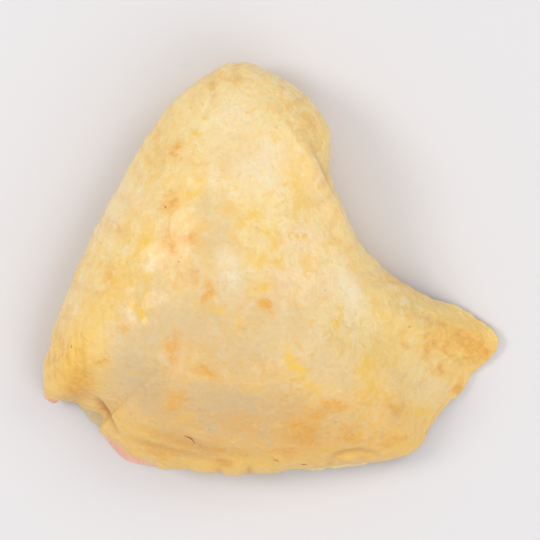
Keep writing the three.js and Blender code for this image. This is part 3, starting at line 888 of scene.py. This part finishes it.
def skin_finish():
    """Cream over fat, tan and grey where it is thin, golden at the sides, with flecks and stains."""
    finish = Finish("raw_skin")
    place = finish.place()
    grain = finish.node("ShaderNodeAttribute", {"attribute_name": "grain"}, output="Vector")
    lines = {"Vector": grain, "Scale": 1.0, "Detail": 5.0, "Roughness": 0.65}
    pores = {"Vector": place, "Scale": 1 / (2.2 * MM), "Randomness": 0.9}
    broad = finish.noise(place, 20, 3, 0.5)
    mottle = finish.noise(place, 5, 4, 0.6, 0.6)
    blotch = finish.noise(place, 3.6, 3, 0.55, 0.5)
    cloud = finish.noise(place, 2.6, 3, 0.6, 0.3)
    speck = finish.noise(place, 1.3, 4, 0.65, 0.3)
    fine = finish.noise(place, 0.45, 2, 0.6)
    streak = finish.node("ShaderNodeTexNoise", values=lines)
    pore = finish.node("ShaderNodeTexVoronoi", {"feature": "F1"}, pores)
    mask = finish.mask
    gathered = mask("gathered")
    base = mask("base")
    thin = mask("thin")

    def broken(name, strength):
        """A painted mask, thinned where the specks are low."""
        return (mask(name) * (0.3 + 0.7 * speck.step(0.32, 0.6)) * strength).least(0.92)

    colour = finish.layers(
        # Mottling, paler at the knee, pink in patches and more golden at the base
        (251, 221, 157),
        ((248, 209, 133), broad.step(0.35, 0.65)),
        ((252, 230, 186), mottle.step(0.5, 0.64) * 0.8),
        ((243, 198, 114), mottle.step(0.49, 0.34) * 0.75),
        ((253, 228, 168), mask("knee") * 0.3),
        ((251, 216, 182), mask("pink") * speck.step(0.2, 0.6) * 0.85),
        ((249, 191, 101), base * (0.5 + 0.5 * mottle)),
        ((226, 193, 130), blotch.step(0.48, 0.38) * (0.2 + 0.35 * base)),
        ((249, 191, 84), blotch.step(0.52, 0.62) * (0.3 + 0.45 * base)),
        # The thin middle, then the grey and golden places, the pale places with painted highlight along the
        # right ridge and slope, and the rim, lighter partly as painted light
        ((201, 170, 127), thin * (0.26 + 0.4 * mottle)),
        ((213, 191, 153), mask("grey") * (0.35 + 0.5 * mottle)),
        ((255, 204, 98), (mask("gold") * (0.45 + 0.75 * mottle)).least(0.9)),
        ((251, 234, 204), mask("pale_and_highlight") * speck.step(0.2, 0.55) * 0.8),
        # Lighter yellow at the rim: partly its golden colour, partly painted light on the edges
        ((255, 214, 140), mask("rim") * 0.25),
        # Stray yellow and pale flecks, then the stains and flecks in their own places
        ((248, 195, 86), mottle.step(0.53, 0.68) * cloud.step(0.42, 0.66) * (0.8 - 0.35 * thin)),
        ((248, 224, 172), mottle.step(0.46, 0.34) * cloud.step(0.45, 0.75) * 0.45),
        ((236, 173, 76), broken("orange", 1.5)),
        ((246, 198, 84), broken("yellow", 1.3)),
        # Fine lines where the skin is gathered, with painted shade in their grooves and painted highlight on
        # their ridges, then pores, specks, painted shade in the wrinkles and folds, and the inner side
        ((238, 180, 102), streak.step(0.46, 0.3) * gathered * 0.45),
        ((255, 226, 158), streak.step(0.55, 0.7) * gathered * 0.4),
        ((206, 148, 80), pore.step(0.16, 0.04) * cloud.step(0.5, 0.6) * 0.35),
        ((226, 176, 108), speck.step(0.4, 0.26) * 0.22),
        # Painted shade in the wrinkles' grooves
        ((234, 170, 80), mask("wrinkle") * (0.12 + 0.5 * cloud.step(0.4, 0.6))),
        # Painted shade at the bottom of the folds
        ((202, 130, 58), mask("fold_shade") * 0.75),
        ((246, 218, 172), mask("inside") * 0.85),
    )
    bumps = finish.bumps(
        (fine, 0.08), (speck, 0.24), (cloud, 0.36), (streak * gathered, 0.5), (pore.step(0.42, 0.04), 0.12),
    )
    return finish.done(
        Base_Color=colour, Roughness=0.36 + 0.2 * mottle + 0.12 * fine, IOR=1.4, Normal=bumps,
        Coat_Weight=0.3 + 0.4 * speck.step(0.45, 0.7), Coat_Roughness=0.16, Coat_IOR=1.4,
        Subsurface_Weight=0.3, Subsurface_Scale=0.003, Subsurface_Radius=(1.0, 0.7, 0.4),
    )


# The meat is rough at its cut side alone, because its crown lies close under the skin and its underside has
# to rest flat: the shares of the way out and the heights between which that comes in, the size of the lumps
# in x, y and z, their height, and how far the side is set back
CUT_SIDE = (0.75, 0.92)
OFF_TABLE = (0.6, 1.8)
MEAT_LUMPS = (5, 5, 2)
MEAT_ROUGHNESS = 0.35
MEAT_SET_BACK = 0.15

# The streaks of fat in the meat: their size in x, y and z
FAT_STREAKS = (7, 16, 5)


def make_flesh():
    u, reach = bent_grid(FLESH_GRID)
    points, faces, kept = welded_shell(flesh_upper(u, reach), flesh_under(u, reach), FLESH_GRID)
    flesh = mesh_object("pink_flesh", points, faces.tolist())
    u, reach = (np.concatenate([values, values])[kept] for values in (u, reach))
    points = points_of(flesh)
    side = smooth(*CUT_SIDE, reach) * smooth(*OFF_TABLE, points[:, 2])
    exposed = side * (1 - Rows(u).turn)
    push_out(flesh, exposed * (MEAT_ROUGHNESS * rough(points, MEAT_LUMPS, 3) - MEAT_SET_BACK))
    paint(flesh, "fat", smooth(0.05, 0.4, rough(points, FAT_STREAKS, 3, offset=(2, 5, 1))))
    return flesh


def flesh_finish():
    """Moist pink meat with fine fibres and pale streaks of fat."""
    finish = Finish("raw_flesh")
    place = finish.place()
    drawn_out = {"Vector": place, "Scale": (1.0, 0.16, 1.0), "Rotation": (0, 0, 0.5)}
    fibre = finish.noise(finish.node("ShaderNodeMapping", values=drawn_out), 1.1, 4, 0.65, 0.4)
    cloud = finish.noise(place, 8, 3, 0.55, 0.5)
    colour = finish.layers(
        (236, 176, 154),
        ((243, 203, 180), cloud.step(0.35, 0.68)),
        ((220, 146, 120), fibre.step(0.5, 0.3) * 0.45),
        ((241, 208, 180), finish.mask("fat") * fibre.step(0.4, 0.6) * 0.7),
    )
    return finish.done(
        Base_Color=colour, Roughness=0.3 + 0.2 * cloud, IOR=1.4,
        Normal=finish.bumps((cloud, 0.5), (fibre, 0.35)),
        Coat_Weight=0.3 + 0.2 * fibre, Coat_Roughness=0.12, Coat_IOR=1.36,
        Subsurface_Weight=0.25, Subsurface_Scale=0.003, Subsurface_Radius=(1.0, 0.5, 0.4),
    )


def tube(middles, sides, ups, half_widths, half_heights, around):
    """Points and faces of a closed tube, with its ends drawn together to a point."""
    count = len(middles)
    turn = 2 * math.pi * np.arange(around) / around
    rings = (middles[:, None]
             + sides[:, None] * (half_widths[:, None] * np.cos(turn))[:, :, None]
             + ups[:, None] * (half_heights[:, None] * np.sin(turn))[:, :, None])
    points = np.concatenate([rings.reshape(-1, 3), middles[:1], middles[-1:]])
    faces = []
    last = (count - 1) * around
    for k in range(around):
        other = (k + 1) % around
        for a in range(0, last, around):
            b = a + around
            faces.append((a + k, a + other, b + other, b + k))
        faces.append((count * around, other, k))
        faces.append((count * around + 1, last + k, last + other))
    return points, faces


def along_rim(start, end, steps, inset, height):
    """Points beside the rim from one plan point to another, with the ways out and up there."""
    rows = Rows(np.linspace(rim_share(*start), rim_share(*end), steps))
    plan = CROWN + rows.out * (rows.radius - inset)[:, None]
    middles = np.column_stack([plan, np.full(steps, height)])
    sides = np.column_stack([rows.out, np.zeros(steps)])
    ups = np.tile((0.0, 0.0, 1.0), (steps, 1))
    return middles, sides, ups


# The film in the notch: where its ends meet the rim, the inset and the height of its inner and outer edges,
# the bulge of the outer one, how close to the rim that one follows the rim instead, and half the film's
# thickness at its ends with what its middle adds
FILM_ENDS = ((-49.2, -34.2), (-42.3, -41.4))
FILM_INNER = (2.2, 5.0)
FILM_OUTER = (0.3, 2.2)
FILM_BULGE = 0.5
FILM_CLOSE = 0.2
FILM_HALF = (0.12, 0.2)

# The rim of fat: where its ends meet the skin's rim, its inset and height, half its width and half its
# thickness with how uneven each is, half the size of its tips, and its slope
FAT_ENDS = ((3.0, -51.2), (28.0, -48.6))
FAT_PLACE = (1.4, 3.5)
FAT_HALF_WIDTH = (2.3, 0.9)
FAT_HALF_HEIGHT = (0.7, 0.25)
FAT_TIP = 0.15
FAT_SLOPE = -0.35

# The lobe of meat at the ear: its ends, the way in which it is wide, half its width with how uneven that is,
# half its height, and half the size of its tips
LOBE_ENDS = ((-56.5, -30.2, 4.9), (-52.9, -33.0, 4.3))
LOBE_OUT = (-0.55, -0.83, 0.0)
LOBE_HALF_WIDTH = (2.0, 0.6)
LOBE_HALF_HEIGHT = 1.4
LOBE_TIP = 0.1


def make_film():
    """The thin wet membrane that spans the notch between the ear and the hem."""
    steps = 60
    share = np.linspace(0, 1, steps)[:, None]
    arch = np.sin(math.pi * share[:, 0])
    inner, _, ups = along_rim(*FILM_ENDS, steps, *FILM_INNER)
    rims, ways, _ = along_rim(*FILM_ENDS, steps, *FILM_OUTER)
    chord = rims[:1] + (rims[-1:] - rims[:1]) * share
    uneven = 1 + rough(chord, 1.8, 2, offset=(3, 3, 3))
    chord += ways * (FILM_BULGE * arch * uneven)[:, None]
    outer = np.where(np.linalg.norm(chord - rims, axis=1)[:, None] > FILM_CLOSE, chord, rims)
    across = (outer - inner) / 2
    width = np.linalg.norm(across, axis=1)
    end, more = FILM_HALF
    sides = across / width[:, None]
    return mesh_object("notch_film", *tube(inner + across, sides, ups, width, end + more * arch, around=16))


def make_fat():
    """The pale rim of fat that shows under the hem along the base."""
    steps = 110
    middles, sides, ups = along_rim(*FAT_ENDS, steps, *FAT_PLACE)
    swell = np.sin(math.pi * np.linspace(0, 1, steps)) ** 0.7
    lumps = rough(middles, 3.0, 3, offset=(4, 4, 4))
    sides[:, 2] = FAT_SLOPE
    sizes = (FAT_HALF_WIDTH, FAT_HALF_HEIGHT)
    widths, heights = (FAT_TIP + (half + uneven * lumps) * swell for half, uneven in sizes)
    return mesh_object("fat_edge", *tube(middles, sides, ups, widths, heights, around=12))


def make_ear_meat():
    """The small pink lobe of meat that shows past the tip of the ear."""
    steps = 24
    share = np.linspace(0, 1, steps)
    start, end = np.array(LOBE_ENDS)
    middles = start + (end - start) * share[:, None]
    sides, ups = np.tile(LOBE_OUT, (steps, 1)), np.tile((0.0, 0.0, 1.0), (steps, 1))
    swell = np.sqrt(np.maximum(0, 1 - (2 * share - 1) ** 4))
    lumps = rough(middles, 1.6, 2, offset=(8, 1, 1))
    half, uneven = LOBE_HALF_WIDTH
    widths = LOBE_TIP + (half + uneven * lumps) * swell
    heights = LOBE_TIP + LOBE_HALF_HEIGHT * swell
    return mesh_object("ear_meat", *tube(middles, sides, ups, widths, heights, around=16))


def film_finish():
    """Wet membrane, greyish tan and partly clear."""
    finish = Finish("wet_film")
    place = finish.place()
    cloud = finish.noise(place, 2.2, 3, 0.6)
    vein = finish.noise(place, 0.8, 3, 0.6, 0.5)
    colour = finish.layers(
        (230, 208, 164),
        ((235, 205, 146), cloud.step(0.4, 0.65)),
        ((214, 194, 152), vein.step(0.5, 0.3) * 0.5),
    )
    return finish.done(
        Base_Color=colour, Roughness=0.22 + 0.2 * cloud, IOR=1.38, Alpha=0.8,
        Normal=finish.bumps((vein, 0.15)),
        Coat_Weight=0.4, Coat_Roughness=0.1, Subsurface_Weight=0.4, Subsurface_Scale=0.002,
    )


def fat_finish():
    """Pale fat, whiter in lumps and yellower in broad patches."""
    finish = Finish("pale_fat")
    place = finish.place()
    lump = finish.noise(place, 1.4, 3, 0.6)
    colour = finish.layers(
        (240, 213, 150),
        ((246, 227, 182), lump.step(0.42, 0.62)),
        ((240, 205, 120), finish.noise(place, 4).step(0.55, 0.7)),
    )
    return finish.done(
        Base_Color=colour, Roughness=0.32 + 0.2 * lump, IOR=1.4, Normal=finish.bumps((lump, 0.3)),
        Coat_Weight=0.25, Coat_Roughness=0.2,
        Subsurface_Weight=0.4, Subsurface_Scale=0.003, Subsurface_Radius=(1.0, 0.8, 0.5),
    )


# Hairs left in the skin: x, y, turn in degrees, length, thickness
HAIRS = (
    (-19.6, -41.6, -37, 3.1, 0.45), (1.6, -47.3, -22, 1.4, 0.34), (8.6, -48.6, -5, 1, 0.4),
    (-21.9, 3.1, 20, 0.6, 0.22), (-25.2, 16.4, 60, 0.7, 0.26), (-48.8, -18.4, 75, 0.9, 0.2),
    (34.9, -14, 10, 0.8, 0.16), (-14.6, -38.7, 5, 0.8, 0.18),
)

# A hair of length 1: its ends, how far it bends and lifts between them, how much of its thickness it loses
# towards its tip, and its steps along and round
HAIR_ENDS = ((0, 0, -0.03), (1, 0, 0.06))
HAIR_SHAPE = {"Bend": 0.3, "Lift": 0.2, "Thinning": 0.55}
HAIR_STEPS = 10
HAIR_SIDES = 8


def on_top(skin, plan):
    """Where plumb lines at plan points meet the skin from above."""
    points = points_of(skin)
    tree = BVHTree.FromPolygons(points.tolist(), [list(face.vertices) for face in skin.data.polygons])
    return [tree.ray_cast((x, y, 100.0), (0, 0, -1))[0] for x, y in plan]


def hair_tree(material):
    """Geometry Nodes: a bent, tapered hair at each point, turned and sized by the point's attributes."""
    tree = bpy.data.node_groups.new("hair_tree", "GeometryNodeTree")
    tree.interface.new_socket("Geometry", in_out="INPUT", socket_type="NodeSocketGeometry")
    for name, value in HAIR_SHAPE.items():
        size = tree.interface.new_socket(name, in_out="INPUT", socket_type="NodeSocketFloat")
        size.default_value = value
    tree.interface.new_socket("Geometry", in_out="OUTPUT", socket_type="NodeSocketGeometry")
    nodes = Nodes(tree)
    given = {socket.name: Value(nodes, socket) for socket in tree.nodes.new("NodeGroupInput").outputs}

    def attribute(name):
        return nodes.node("GeometryNodeInputNamedAttribute", {"data_type": "FLOAT"}, {"Name": name})

    root, tip = HAIR_ENDS
    middle = nodes.node("ShaderNodeCombineXYZ", values={"X": 0.5, "Y": given["Bend"], "Z": given["Lift"]})
    shape = {"Resolution": HAIR_STEPS, "Start": root, "Middle": middle, "End": tip}
    line = nodes.node("GeometryNodeCurveQuadraticBezier", values=shape)
    turned = nodes.node("ShaderNodeCombineXYZ", values={"Z": attribute("turned")})
    length = attribute("length")
    places = {"Points": given["Geometry"], "Instance": line, "Rotation": turned, "Scale": length}
    spread = nodes.node("GeometryNodeInstanceOnPoints", values=places)
    lines = nodes.node("GeometryNodeRealizeInstances", values={"Geometry": spread})
    along = nodes.node("GeometryNodeSplineParameter", output="Factor")
    thickness = (1.0 - along * given["Thinning"]) * attribute("thickness")
    outline = {"Resolution": HAIR_SIDES, "Radius": 0.5}
    ring = nodes.node("GeometryNodeCurvePrimitiveCircle", {"mode": "RADIUS"}, outline)
    sweep = {"Curve": lines, "Profile Curve": ring, "Scale": thickness, "Fill Caps": True}
    hairs = nodes.node("GeometryNodeCurveToMesh", values=sweep)
    solid = nodes.node("GeometryNodeRealizeInstances", values={"Geometry": hairs})
    painted = nodes.node("GeometryNodeSetMaterial", values={"Geometry": solid, "Material": material})
    nodes.feed(tree.nodes.new("NodeGroupOutput").inputs[0], painted)
    return tree


def make_hairs(skin, material):
    """The hairs as one plain mesh, each with its root in the skin."""
    hairs = np.array(HAIRS)
    turned = np.radians(hairs[:, 2])
    ends = np.column_stack([np.cos(turned), np.sin(turned)]) * hairs[:, 3:4] / 2
    roots = on_top(skin, hairs[:, :2] - ends)
    seeds = mesh_object("hair_seeds", np.array(roots), [])
    paint(seeds, "turned", turned)
    paint(seeds, "length", hairs[:, 3] * MM)
    paint(seeds, "thickness", hairs[:, 4] * MM)
    seeds.modifiers.new("hairs", "NODES").node_group = hair_tree(material)
    shape = bpy.data.meshes.new_from_object(seeds.evaluated_get(bpy.context.evaluated_depsgraph_get()))
    bpy.data.objects.remove(seeds)
    shape.polygons.foreach_set("use_smooth", [True] * len(shape.polygons))
    return put("skin_hairs", shape)


def hair_finish():
    """Brown, darker in some places."""
    finish = Finish("brown_hair")
    place = finish.place()
    tone = finish.noise(place, 1.2, 3, 0.6)
    return finish.done(
        Base_Color=finish.layers((158, 84, 40), ((206, 130, 68), tone.step(0.35, 0.65))),
        Roughness=0.4 + 0.2 * tone, IOR=1.5, Normal=finish.bumps((finish.noise(place, 0.15, 2), 0.02)),
        Coat_Weight=0.3, Coat_Roughness=0.3,
    )


# The stage: a pale floor, three soft lights round the thigh, and the camera over it
CAMERA_SPOT = Vector((0.019, 0.064, 1.2))
CAMERA_TARGET = Vector((0.0, 0.0, 0.012))
FRAME_WIDTH = 0.1346
FLOOR_REACH = 1.5


def make_camera():
    camera = bpy.data.cameras.new("camera")
    reach = (CAMERA_SPOT - CAMERA_TARGET).length
    camera.lens = camera.sensor_width * reach / FRAME_WIDTH
    camera.clip_start = 0.01
    holder = put("camera", camera)
    holder.location = CAMERA_SPOT
    back = (CAMERA_SPOT - CAMERA_TARGET).normalized()
    right = Vector((0, 1, 0)).cross(back).normalized()
    turned = Matrix((right, back.cross(right), back)).transposed()
    holder.rotation_euler = turned.to_euler()
    bpy.context.scene.camera = holder


def soft_light(name, spot, size, power, colour=(1, 1, 1)):
    """A round lamp, in metres and watts, that faces the thigh."""
    light = bpy.data.lights.new(name, "AREA")
    light.shape = "DISK"
    light.size = size
    light.energy = power
    light.color = colour
    holder = put(name, light)
    holder.location = spot
    holder.rotation_euler = (-Vector(spot)).to_track_quat("-Z", "Y").to_euler()


def make_stage():
    corners = [(x * FLOOR_REACH, y * FLOOR_REACH, 0) for x, y in ((-1, -1), (1, -1), (1, 1), (-1, 1))]
    floor = bpy.data.meshes.new("floor")
    floor.from_pydata(corners, [], [(0, 1, 2, 3)])
    floor.materials.append(Finish("pale_floor").done(Base_Color=srgb(227, 225, 226), Roughness=0.55))
    piece = put("floor", floor)

    soft_light("window", (-0.77, 0.2, 0.84), 0.42, 3.75, (1.0, 0.985, 0.96))
    soft_light("ceiling", (0.5, -0.62, 0.9), 1.0, 3.1)
    soft_light("side", (0.62, 0.5, 0.8), 0.5, 1.9)
    world = bpy.data.worlds.new("studio")
    world.use_nodes = True
    background = world.node_tree.nodes["Background"]
    background.inputs["Color"].default_value = (0.92, 0.92, 0.94, 1)
    background.inputs["Strength"].default_value = 0.7
    bpy.context.scene.world = world
    bpy.context.scene.view_settings.view_transform = "Standard"


def finished(piece, material, slot, *nodes):
    """Gives a piece its material and body, and hides the imported parts that it stands for. The slot is not
    used.
    """
    piece.data.materials.clear()
    piece.data.materials.append(material)
    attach(piece, "root")
    if nodes:
        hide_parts(*nodes)


make_camera()
make_stage()
skin = make_skin()
finished(skin, skin_finish(), "skin", "skin")
finished(make_flesh(), flesh_finish(), "flesh", "flesh")
finished(make_film(), film_finish(), "skin")
finished(make_fat(), fat_finish(), "skin")
finished(make_ear_meat(), flesh_finish(), "flesh")
brown_hair = hair_finish()
finished(make_hairs(skin, brown_hair), brown_hair, "skin")
